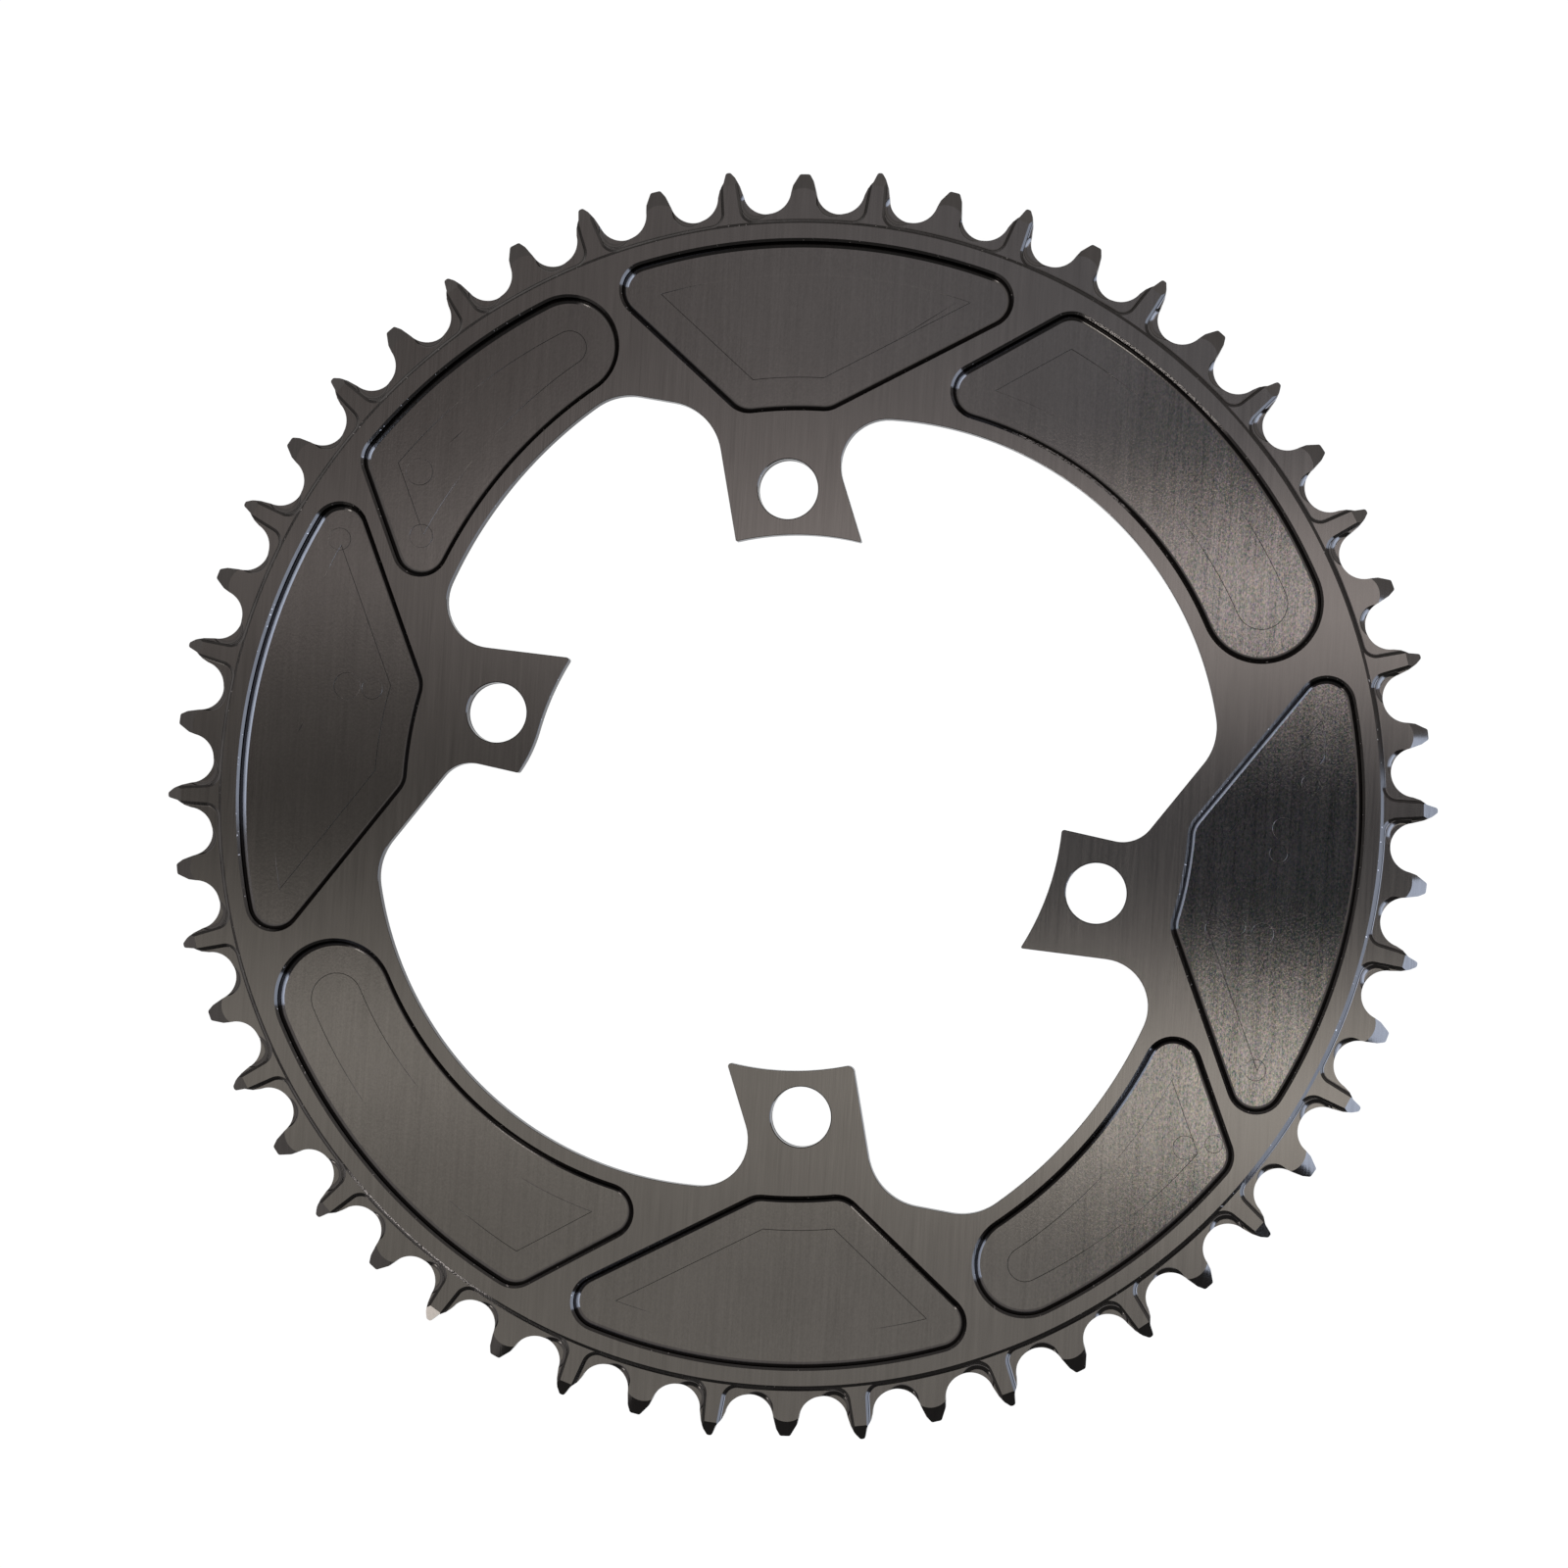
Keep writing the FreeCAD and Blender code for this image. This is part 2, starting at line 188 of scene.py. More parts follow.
def rounded_corners(nodes, sides, grow):
    """For each node, the points of its corner once all sides have moved outwards."""
    grown = [shifted(side, -grow) for side in sides]
    corners = []
    for index, node in enumerate(nodes):
        way_in, way_out = heading(sides[index - 1], node["at"]), heading(sides[index], node["at"])
        turn = (way_in.conjugate() * way_out).imag
        if abs(turn) < SMOOTH_TURN:
            corners.append([node["at"] - 1j * grow * way_out])
            continue
        sense = 1 if turn > 0 else -1
        radius = max(node.get("radius", 0.0) + sense * grow, SHARPEST_RADIUS)
        hint = node["at"] + 1j * sense * radius * unit(way_in + way_out)
        beside = [shifted(grown[index - 1], sense * radius), shifted(grown[index], sense * radius)]
        centre = meeting(*beside, hint)
        start, end = foot(grown[index - 1], centre), foot(grown[index], centre)
        corners.append(swept(centre, start, end, sense, node.get("steps", CORNER_STEPS)))
    return corners


def outline(nodes, grow=0.0):
    sides = sides_of(nodes)
    corners = rounded_corners(nodes, sides, grow)
    points = []
    for index, node in enumerate(nodes):
        points += corners[index]
        following = (index + 1) % len(nodes)
        if "about" in node:
            arm, next_arm = node["at"] - node["about"], nodes[following]["at"] - node["about"]
            length = abs(cmath.phase(next_arm / arm)) * abs(arm)
            steps = max(2, math.ceil(length / node.get("step", SIDE_STEP)))
            start, end = corners[index][-1], corners[following][0]
            points += swept(node["about"], start, end, sides[index]["sense"], steps)[1:-1]
    return points


square = [{"at": corner, "radius": 1.0} for corner in circle(4.0, 4)]
print("points of a rounded square, and grown:", len(outline(square)), len(outline(square, 1.0)))

# %% [markdown]
# ## Cutters
# A cutter is a closed body, as corner points and faces. Most are stacks of outlines, one above the other.
# Blender's primitives have no such walls, and plain lists keep the order of points that joins them.


# %% Bodies
def joined(layers):
    """A closed body over loops of corners that follow each other."""
    count = len(layers[0])
    corners = np.array([corner for layer in layers for corner in layer])
    faces = [list(range(count))[::-1], [len(corners) - count + index for index in range(count)]]
    for base in range(0, len(corners) - count, count):
        for index in range(count):
            after = (index + 1) % count
            faces.append([base + index, base + after, base + count + after, base + count + index])
    return corners, faces


def stack(levels):
    """A closed body over outlines at rising heights, each as (points, height)."""
    return joined([[(point.real, point.imag, height) for point in points] for points, height in levels])


def swept_sector(section, centre, start, end, steps):
    """A body swept by a section (distance, height) about an upright axis, between two angles."""
    layers = []
    for step in range(steps + 1):
        angle = start + (end - start) * step / steps
        places = [(polar(distance, angle, centre), height) for distance, height in section]
        layers.append([(place.real, place.imag, height) for place, height in places])
    corners, faces = joined(layers)
    return corners, [face[::-1] for face in faces]


def turned(body, angle):
    corners, faces = body
    turn = np.array(Matrix.Rotation(math.radians(angle), 3, "Z"))
    return corners @ turn.T, faces


def mirrored_to_back(body):
    """The same cut from the other side of the tooth ring's middle plane."""
    corners, faces = body
    return corners * (1.0, 1.0, -1.0) + (0.0, 0.0, 2.0 * MIDDLE), [face[::-1] for face in faces]


def together(bodies):
    corners = np.vstack([body[0] for body in bodies])
    faces = []
    base = 0
    for body in bodies:
        faces += [[base + index for index in face] for face in body[1]]
        base += len(body[0])
    return corners, faces


print("faces of a block over four points:", stack([(circle(1.0, 4), 0.0), (circle(1.0, 4), 1.0)])[1])

# %% [markdown]
# An end mill with rounded teeth leaves a fillet at the foot of a wall. Here it is an arc of small shifts of
# the pocket's outline, each at its own height. The broken edge at the top takes two more shifts.


# %% Walls with a rounded foot
def foot_fillet(radius, floor, steps=10, steepest=90.0, sunk=0.0):
    """Shifts and heights of an arc that rises from a floor, or from a little below the floor."""
    turns = np.linspace(math.acos(1.0 - sunk / radius), math.radians(steepest), steps + 1)
    reach = radius * math.sin(turns[-1])
    bottom = floor - sunk
    return [(radius * math.sin(turn) - reach, bottom + radius * (1.0 - math.cos(turn))) for turn in turns]


def pocket_cutter(nodes, floor, face, fillet, edge_break, sunk=0.0):
    """A pocket with a rounded foot. Its edge break is given as (width, depth), inside the outline."""
    wide, deep = edge_break
    shifts = [(grow - wide, height) for grow, height in foot_fillet(fillet, floor, sunk=sunk)]
    shifts += [(-wide, face - deep), (0.0, face), (0.0, face + OVERCUT)]
    return stack([(outline(nodes, grow), height) for grow, height in shifts])


print("a fillet of 1 mm in two steps:", foot_fillet(1.0, 0.0, 2))

# %% [markdown]
# ## The tooth ring
# The teeth follow one round outline, with a roller seat in each gap. Wide teeth fill the chain's outer
# links and narrow teeth its inner ones, so they take turns. A tooth's flanks are given by a few points, each
# along the pitch circle, clockwise, and above it. They are rounded like any other corner.

# %% Tooth outline
SEAT_HALF_WRAP = 80.0
SEAT_STEP = 0.35
WIDE_OUTLINE = [(-1.72, 0.58), (-0.92, 1.66), (-0.38, 3.50), (0.37, 3.50), (1.10, 2.50), (1.70, 1.16)]
NARROW_OUTLINE = [(-1.85, 0.58), (-0.68, 2.53), (0.98, 2.53), (1.65, 1.33)]
TOOTH_CORNER_RADIUS = 0.45
TOOTH_CORNER_STEPS = 4
TIP_RADIUS = PITCH_RADIUS + max(height for along, height in WIDE_OUTLINE)


def near_tooth(angle, along, height):
    """A point given along the pitch circle, clockwise, and above it."""
    return polar(PITCH_RADIUS + height, angle - math.degrees(along / PITCH_RADIUS))


def seat_end(gap_angle, side):
    """Where a roller seat ends, on its clockwise (-1) or counter-clockwise (+1) side."""
    return polar(SEAT_RADIUS, gap_angle + 180.0 - side * SEAT_HALF_WRAP, polar(PITCH_RADIUS, gap_angle))


def toothed_outline():
    nodes = []
    for index in range(TOOTH_COUNT):
        angle = TOOTH_PHASE + GAP_ANGLE * (index + 0.5)
        before, after = angle - GAP_ANGLE / 2.0, angle + GAP_ANGLE / 2.0
        profile = WIDE_OUTLINE if index % 2 == 0 else NARROW_OUTLINE
        nodes.append({"at": seat_end(before, 1)})
        for place in reversed(profile):
            corner = near_tooth(angle, *place)
            nodes.append({"at": corner, "radius": TOOTH_CORNER_RADIUS, "steps": TOOTH_CORNER_STEPS})
        seat = polar(PITCH_RADIUS, after)
        nodes.append({"at": seat_end(after, -1), "about": seat, "forward": False, "step": SEAT_STEP})
    return nodes


teeth = outline(toothed_outline())
print("tooth outline:", len(teeth), "points")

# %% [markdown]
# The blank is turned on a lathe: a full plate, a broken edge, a step with a small fillet at its foot, and
# outside it the thinner ring that the teeth are cut from.

# %% Turned blank
STEP_FILLET = 0.08
STEP_FOOT_OUTSIDE = 0.18
STEP_EDGE = (0.47, 0.37)
BLANK_STEPS = 720


def turned_blank():
    wall = FACE_RADIUS + STEP_FOOT_OUTSIDE
    wide, deep = STEP_EDGE
    profile = [(TIP_RADIUS + OVERCUT, 0.0), (TIP_RADIUS + OVERCUT, WIDE_TOP)]
    profile += [(wall - grow, height) for grow, height in foot_fillet(STEP_FILLET, WIDE_TOP)]
    profile += [(wall, PLATE_THICKNESS - deep), (wall - wide, PLATE_THICKNESS)]
    return stack([(circle(radius, BLANK_STEPS), height) for radius, height in profile])


print("turned blank:", len(turned_blank()[0]), "corners")

# %% [markdown]
# Between the ribs of two wide teeth, a cutter lowers the ring to the narrow tooth's thickness. It leaves a
# rounded foot on the ring's side and along both ribs. One such cut is repeated for every second tooth and
# mirrored to the back.

# %% Recesses between the ribs
RECESS_DEPTH = 0.65
RECESS_SETBACK = 1.60
RECESS_CORNER_RADIUS = 2.6
RECESS_FILLET = 0.30
RECESS_EDGE = (0.40, 0.34)
RIB_TIP_HALF_WIDTH = 0.80
RIB_ROOT_HALF_WIDTH = 1.50
NARROW_TOP = WIDE_TOP - RECESS_DEPTH
RECESS_RADIUS = ROOT_RADIUS - RECESS_SETBACK


def rib_recess():
    first = TOOTH_PHASE + GAP_ANGLE / 2.0
    last = first + 2.0 * GAP_ANGLE
    root = RECESS_RADIUS - PITCH_RADIUS
    clear = TIP_RADIUS - PITCH_RADIUS + OVERCUT
    root_end = near_tooth(last, RIB_ROOT_HALF_WIDTH, root)
    nodes = [
        {"at": near_tooth(first, -RIB_TIP_HALF_WIDTH, clear), "about": 0j, "forward": True},
        {"at": near_tooth(last, RIB_TIP_HALF_WIDTH, clear)},
        {"at": root_end, "radius": RECESS_CORNER_RADIUS, "about": 0j, "forward": False},
        {"at": near_tooth(first, -RIB_ROOT_HALF_WIDTH, root), "radius": RECESS_CORNER_RADIUS},
    ]
    return pocket_cutter(nodes, NARROW_TOP, WIDE_TOP, RECESS_FILLET, RECESS_EDGE)


def round_the_ring(bodies):
    """Every cut repeated at each pair of teeth."""
    turns = [2.0 * GAP_ANGLE * pair for pair in range(TOOTH_COUNT // 2)]
    return together([turned(body, turn) for turn in turns for body in bodies])


print("top of the narrow teeth:", round(NARROW_TOP, 2), "mm")

# %% [markdown]
# The tips are bevelled so that the chain drops on easily. The wide ones get a flat bevel from a sloping
# block. The narrow ones get a cone about an axis behind the tooth, so their bevel's upper edge is an arc.

# %% Bevels of the tips
WIDE_BEVEL_HEIGHT = 1.10
WIDE_TIP_THICKNESS = 1.0
NARROW_CONE_CENTRE = (-0.1, -3.45)
NARROW_CONE_RADIUS = 3.5
NARROW_CONE_SLOPE = 0.2146
NARROW_CONE_REACH = (-0.1, 4.5)
NARROW_CONE_HALF_TURN = 46.0
NARROW_CONE_STEPS = 24


def wide_bevel():
    start, end = PITCH_RADIUS + WIDE_BEVEL_HEIGHT, TIP_RADIUS + OVERCUT
    slope = (WIDE_TOP - MIDDLE - WIDE_TIP_THICKNESS / 2.0) / (TIP_RADIUS - start)
    half_width = (CHAIN_PITCH - SEAT_RADIUS) / 2.0
    low_end = WIDE_TOP - slope * (end - start)
    section = [(start, WIDE_TOP), (end, low_end), (end, PLATE_THICKNESS), (start, PLATE_THICKNESS)]
    layers = [[(radius, side, height) for radius, height in section] for side in (half_width, -half_width)]
    return turned(joined(layers), TOOTH_PHASE + GAP_ANGLE / 2.0)


def narrow_bevel():
    angle = TOOTH_PHASE + 1.5 * GAP_ANGLE
    centre = near_tooth(angle, *NARROW_CONE_CENTRE)
    section = []
    for reach in NARROW_CONE_REACH:
        section.append((NARROW_CONE_RADIUS + reach, NARROW_TOP - reach * NARROW_CONE_SLOPE))
    section += [(radius, PLATE_THICKNESS) for radius, height in reversed(section)]
    turn = NARROW_CONE_HALF_TURN
    return swept_sector(section, centre, angle - turn, angle + turn, NARROW_CONE_STEPS)


tip_bevels = [wide_bevel(), narrow_bevel()]
print("corners of the bevel cutters:", [len(corners) for corners, faces in tip_bevels])

# %% [markdown]
# Each roller seat has a small round relief beside the tooth that comes before it. It is a scoop, left by
# the rounded end of a cutter that doesn't go in to its full depth.

# %% Seat reliefs
RELIEFS = {0.0: (-1.95, -2.32, 2.88), GAP_ANGLE: (-1.20, -2.07, 2.85)}
RELIEF_DEPTH = 0.5
SCOOP_RADIUS = 1.2
SCOOP_RISE_STEPS = 8
SCOOP_STEPS = 48
SCOOP_EXIT = (0.05, NARROW_TOP + 0.1)


def seat_reliefs():
    """The scoop after a wide tooth and the one after a narrow tooth."""
    steepest = math.degrees(math.acos(1.0 - RELIEF_DEPTH / SCOOP_RADIUS))
    shifts = foot_fillet(SCOOP_RADIUS, NARROW_TOP - RELIEF_DEPTH, SCOOP_RISE_STEPS, steepest) + [SCOOP_EXIT]
    bodies = []
    for gap, (along, height, radius) in RELIEFS.items():
        centre = near_tooth(TOOTH_PHASE + gap, along, height)
        bodies.append(stack([(circle(radius + grow, SCOOP_STEPS, centre), z) for grow, z in shifts]))
    return together(bodies)


print("a pair of reliefs:", len(seat_reliefs()[0]), "corners")

# %% [markdown]
# ## Pockets
# Eight blind pockets lighten the plate: fan-shaped ones behind the bolts and long arc-shaped ones between
# them. The bolts lie at the same angle on both sides of the Y axis, and a fan's corners are given as angles
# from its bolt.

# %% Plans of the fan pockets
BOLT_CIRCLE_RADIUS = 53.5
BOLT_HALF_SPREAD = 36.0
RIM_LAND = 2.86
FAN_BEHIND_BOLT = 13.4
POCKET_CORNER_RADIUS = 5.0
UPPER_FAN = {"outer": (-28.69, 19.61), "inner": (-6.64, 6.62)}
LOWER_FAN = {"outer": (-20.40, 33.45), "inner": (-1.26, 13.66)}

POCKET_RADIUS = FACE_RADIUS - RIM_LAND
FAN_INNER_RADIUS = BOLT_CIRCLE_RADIUS + FAN_BEHIND_BOLT
UPPER_BOLT = 90.0 - BOLT_HALF_SPREAD
LOWER_BOLT = 90.0 + BOLT_HALF_SPREAD


def fan_corners(fan, fan_angle, side):
    """Outer and inner corner of a fan pocket's right (0) or left (1) side."""
    outer = polar(POCKET_RADIUS, fan_angle + fan["outer"][side])
    return outer, polar(FAN_INNER_RADIUS, fan_angle + fan["inner"][side])


def fan_nodes(fan, fan_angle):
    outer_right, inner_right = fan_corners(fan, fan_angle, 0)
    outer_left, inner_left = fan_corners(fan, fan_angle, 1)
    nodes = [
        {"at": outer_right, "about": 0j, "forward": True},
        {"at": outer_left},
        {"at": inner_left, "about": 0j, "forward": False},
        {"at": inner_right},
    ]
    return [{**node, "radius": POCKET_CORNER_RADIUS} for node in nodes]


print("an upper fan pocket:", len(outline(fan_nodes(UPPER_FAN, UPPER_BOLT))), "points")

# %% [markdown]
# The arc pockets have an inner wall about a centre of their own, so they narrow towards their round end.
# The end touches both walls, which gives the inner wall's radius. The rib at the other end has a given
# width, so that end follows from the fan's side.

# %% Plans of the arc pockets
POCKET_LEAD = 0.28
ROUND_END_STEP = 0.8
LONG_ARC = {"centre": (13.18, -13.23), "end_radius": 10.4, "end_angle": -14.2, "rib": 2.9, "opening": 1.7}
SHORT_ARC = {"centre": (11.43, -5.51), "end_radius": 8.93, "end_angle": 79.31, "rib": 2.1, "opening": 0.0}


def arc_end_centre(arc):
    return polar(POCKET_RADIUS - arc["end_radius"], arc["end_angle"])


def arc_inner_radius(arc):
    """Radius of an arc pocket's inner wall, so that its round end touches both walls."""
    return abs(arc_end_centre(arc) - polar(*arc["centre"])) - arc["end_radius"]


def arc_nodes(arc, fan, fan_angle):
    wall_centre = polar(*arc["centre"])
    wall_radius = arc_inner_radius(arc)
    end_centre = arc_end_centre(arc)
    end_inner = wall_centre + wall_radius * unit(end_centre - wall_centre)
    fan_outer, fan_inner = fan_corners(fan, fan_angle, 0)
    side_angle = math.degrees(cmath.phase(fan_outer - fan_inner))
    beside = polar(arc["rib"], side_angle - 90.0, fan_outer)
    corner = crossing(beside, side_angle, 0j, POCKET_RADIUS)
    root_angle = side_angle + 180.0 + arc["opening"]
    inside = polar(abs(beside - corner) + abs(fan_inner - fan_outer), root_angle, corner)
    inner_corner = crossing(inside, root_angle + 180.0, wall_centre, wall_radius)
    return [
        {"at": polar(POCKET_RADIUS, arc["end_angle"]), "about": 0j, "forward": True},
        {"at": corner, "radius": POCKET_CORNER_RADIUS},
        {"at": inner_corner, "radius": POCKET_CORNER_RADIUS, "about": wall_centre, "forward": False},
        {"at": end_inner, "about": end_centre, "forward": True, "step": ROUND_END_STEP},
    ]


def half_of_plans(lead):
    upper, lower = UPPER_BOLT + lead, LOWER_BOLT + lead
    return [
        fan_nodes(UPPER_FAN, upper),
        fan_nodes(LOWER_FAN, lower),
        arc_nodes(LONG_ARC, UPPER_FAN, upper),
        arc_nodes(SHORT_ARC, LOWER_FAN, lower),
    ]


halves = ((POCKET_LEAD, 0.0), (-POCKET_LEAD, 180.0))
plans = [(nodes, turn) for lead, turn in halves for nodes in half_of_plans(lead)]
print("pockets:", len(plans))

# %% [markdown]
# On each floor, a fine line runs round at some distance from the wall, where the cutter's passes met. It is
# deep near the pocket's corners and fades between them. A texture could draw it, but a groove catches the
# light as the real one does.

# %% Pocket cutters and lines of the floor
POCKET_DEPTH = 2.4
POCKET_FILLET = 1.5
POCKET_FILLET_SUNK = 0.15
POCKET_EDGE = (0.45, 0.45)
STEPOVER = 6.0
LINE_HALF_WIDTH = 0.055
LINE_DEPTH = 0.07
LINE_LIP = 0.003
LINE_FADED_AT = 21.0
LINE_FADE_LENGTH = 14.0
LINE_FAINTEST = 0.03
POCKET_FLOOR = PLATE_THICKNESS - POCKET_DEPTH


def groove_cutter(loops, depths):
    """A fine V-groove on three closed lines, with a depth for each point of the middle one."""
    count = len(loops[1])
    heights = (POCKET_FLOOR + LINE_LIP, POCKET_FLOOR, POCKET_FLOOR + LINE_LIP)
    corners, faces = stack(list(zip(loops, heights)))
    corners[count:2 * count, 2] -= depths
    lid = []
    for index in range(count):
        after = (index + 1) % count
        lid.append([2 * count + index, 2 * count + after, after, index])
    return corners, faces[2:] + lid


def pocket(nodes):
    heights = (POCKET_FLOOR, PLATE_THICKNESS)
    return pocket_cutter(nodes, *heights, POCKET_FILLET, POCKET_EDGE, POCKET_FILLET_SUNK)


def stepover_line(nodes):
    loops = [outline(nodes, -STEPOVER + shift) for shift in (-LINE_HALF_WIDTH, 0.0, LINE_HALF_WIDTH)]
    ends = np.array([node["at"] for node in nodes])
    to_end = np.abs(np.array(loops[1])[:, None] - ends[None, :]).min(axis=1)
    share = np.clip((LINE_FADED_AT - to_end) / LINE_FADE_LENGTH, LINE_FAINTEST, 1.0)
    return groove_cutter(loops, LINE_DEPTH * share)


pockets = together([turned(pocket(nodes), turn) for nodes, turn in plans])
lines = together([turned(stepover_line(nodes), turn) for nodes, turn in plans])
print("pocket cutters:", len(pockets[0]), "corners; lines:", len(lines[0]), "corners")

# %% [markdown]
# The cutter also pressed faint rings where it went down, and later use left a few scratches. Their places
# are given as right and up in the photograph, from the ring's centre. A ring is deeper on one side, because
# the cutter leant a little. The rings are kept apart, so that no two of them look like a sign.

# %% Marks on the floors
PHOTO_TURN = -37.087
RING_HALF_WIDTH = 0.05
RING_DEPTH = 0.05
RING_LEAN = 0.4
RING_STEPS = 40
RING_TURN = 100.0
PLUNGES = [
    (71.3, -21.6, 1.7), (75.0, -21.2, 1.4), (79.2, -22.5, 1.9), (82.9, -4.7, 1.9), (82.0, -8.9, 1.5),
    (87.9, 7.8, 1.9), (87.4, 2.9, 1.5), (77.9, -45.5, 1.8), (66.0, -58.6, 2.0), (70.9, -58.0, 1.5),
    (-65.0, 57.3, 2.3), (-64.7, 46.2, 2.0), (-77.6, 20.4, 2.3), (-73.2, 19.9, 1.8), (-78.9, 45.8, 1.9),
]
SCRATCHES = [
    ((16.6, 78.6), (28.7, 86.0)),
    ((-86.4, 12.0), (-85.0, 14.6)),
    ((79.5, 5.0), (79.0, 13.0)),
    ((-60.0, 62.0), (-57.0, 64.8)),
]


def photo_place(right, up):
    return complex(right, up) * polar(1.0, PHOTO_TURN)


def plunge_ring(right, up, radius, deepest):
    """A faint ring about a place, deepest at the given angle."""
    centre = photo_place(right, up)
    loops = [circle(radius + side * RING_HALF_WIDTH, RING_STEPS, centre) for side in (-1, 0, 1)]
    angles = np.arange(RING_STEPS) * 360.0 / RING_STEPS
    pressed = 1.0 - RING_LEAN + RING_LEAN * np.cos(np.radians(angles - deepest))
    return groove_cutter(loops, RING_DEPTH * pressed)


def scratch(start, end):
    """A straight scratch, deepest in its middle line and pointed at both ends."""
    side = LINE_HALF_WIDTH * 1j * unit(end - start)
    middle, share = (start + end) / 2.0, 0.02
    wide = [start, middle - side, end, middle + side]
    deep = [middle + share * (point - middle) for point in wide]
    return stack([(deep, POCKET_FLOOR - LINE_DEPTH), (wide, POCKET_FLOOR + LINE_LIP)])


rings = together([plunge_ring(*mark, RING_TURN * index) for index, mark in enumerate(PLUNGES)])
scratches = together([scratch(photo_place(*start), photo_place(*end)) for start, end in SCRATCHES])
print("marks:", len(PLUNGES), "rings and", len(SCRATCHES), "scratches")

# %% [markdown]
# ## Opening and bolt holes
# The opening in the middle leaves four tabs. Between them it follows the arc pockets' inner walls, so the
# metal beside a pocket keeps one width. A tab's sides run back at slight angles until they meet that wall.
# The outline is nearly the same after half a turn, so one half is written down.

# %% Half of the opening
ARC_WALL = 2.4
TAB_BEYOND_BOLT = 7.8
UPPER_TAB = {"corners": (-15.80, 11.50), "leans": (15.7, 8.3), "roots": (8.0, 10.0)}
LOWER_TAB = {"corners": (-16.03, 10.98), "leans": (9.6, 4.0), "roots": (8.0, 6.0)}
LONG_LOBE_ANGLE = -33.13
LONG_LOBE_RUN = 13.6
SHORT_LOBE_ANGLE = 84.89
SHORT_LOBE_RUN = 132.5
LOBE_CORNER_RADIUS = 10.0
TAB_RADIUS = BOLT_CIRCLE_RADIUS - TAB_BEYOND_BOLT


def tab_sides(tab, bolt_angle):
    """A tab's right and left corner, and the angles at which its sides run back."""
    corners = [polar(TAB_RADIUS, bolt_angle + corner) for corner in tab["corners"]]
    return corners, [bolt_angle + lean for lean in tab["leans"]]


def half_of_opening(upper_radii, lower_radii):
    long_centre, long_radius = polar(*LONG_ARC["centre"]), arc_inner_radius(LONG_ARC) - ARC_WALL
    short_centre, short_radius = polar(*SHORT_ARC["centre"]), arc_inner_radius(SHORT_ARC) - ARC_WALL
    long_start = polar(long_radius, LONG_LOBE_ANGLE, long_centre)
    short_start = polar(short_radius, SHORT_LOBE_ANGLE, short_centre)
    (upper_right, upper_left), upper_leans = tab_sides(UPPER_TAB, UPPER_BOLT)
    (lower_right, lower_left), lower_leans = tab_sides(LOWER_TAB, LOWER_BOLT)
    upper_side = crossing(upper_right, upper_leans[0], long_centre, long_radius)
    lower_side = crossing(lower_right, lower_leans[0], short_centre, short_radius)
    upper_root = meeting(ray(upper_left, upper_leans[1]), ray(short_start, SHORT_LOBE_RUN), upper_left)
    lower_root = meeting(ray(lower_left, lower_leans[1]), ray(-long_start, LONG_LOBE_RUN), lower_left)
    return [
        {"at": long_start, "radius": LOBE_CORNER_RADIUS, "about": long_centre, "forward": True},
        {"at": upper_side, "radius": UPPER_TAB["roots"][0]},
        {"at": upper_right, "radius": upper_radii[0], "about": 0j, "forward": True},
        {"at": upper_left, "radius": upper_radii[1]},
        {"at": upper_root, "radius": UPPER_TAB["roots"][1]},
        {"at": short_start, "radius": LOBE_CORNER_RADIUS, "about": short_centre, "forward": True},
        {"at": lower_side, "radius": LOWER_TAB["roots"][0]},
        {"at": lower_right, "radius": lower_radii[0], "about": 0j, "forward": True},
        {"at": lower_left, "radius": lower_radii[1]},
        {"at": lower_root, "radius": LOWER_TAB["roots"][1]},
    ]


print("radius at the tabs' ends:", TAB_RADIUS, "mm")

# %% [markdown]
# One tab isn't like the other three: an arc takes off one of its corners. So the halves are joined with that
# corner replaced. The others are rounded a little differently too, as in the photograph.

# %% Whole opening and bolt holes
CORNER_TRIM = {"start": 1.2, "radius": 22.5}
TAB_CORNER_RADII = [((0.25, 0.25), (0.5, 0.5)), ((0.5, 1.2), (0.25, 0.5))]
BACK_CHAMFER = 1.2
EDGE_BREAK = 0.08
BOLT_HOLE_RADIUS = 5.15
HOLE_CHAMFER = 0.15
HOLE_STEPS = 120


def half_turned(node):
    """A node carried to the other side of the centre."""
    return {key: -value if key in ("at", "about") else value for key, value in node.items()}


def trimmed_corner(full_corner, lean, radius):
    """The two nodes that take a full corner's place: the start and the end of the trimming arc."""
    start_angle = LOWER_BOLT + CORNER_TRIM["start"]
    centre = polar(TAB_RADIUS + CORNER_TRIM["radius"], start_angle)
    end = crossing(full_corner, lean + 180.0, centre, CORNER_TRIM["radius"])
    start = {"at": polar(TAB_RADIUS, start_angle), "about": centre, "forward": False}
    return [start, {"at": end, "radius": radius}]


def opening_nodes():
    first, second = (half_of_opening(*radii) for radii in TAB_CORNER_RADII)
    corners, leans = tab_sides(LOWER_TAB, LOWER_BOLT)
    nodes = []
    for node in first:
        if node["at"] == corners[1]:
            nodes += trimmed_corner(corners[1], leans[1], node["radius"])
        else:
            nodes.append(node)
    return nodes + [half_turned(node) for node in second]


def through_cutter(nodes):
    """Cuts right through, wider at the back by the chamfer."""
    shifts = [(BACK_CHAMFER + OVERCUT, -OVERCUT), (0.0, BACK_CHAMFER), (0.0, PLATE_THICKNESS - EDGE_BREAK)]
    shifts += [(EDGE_BREAK, PLATE_THICKNESS), (EDGE_BREAK + OVERCUT, PLATE_THICKNESS + OVERCUT)]
    return stack([(outline(nodes, grow), height) for grow, height in shifts])


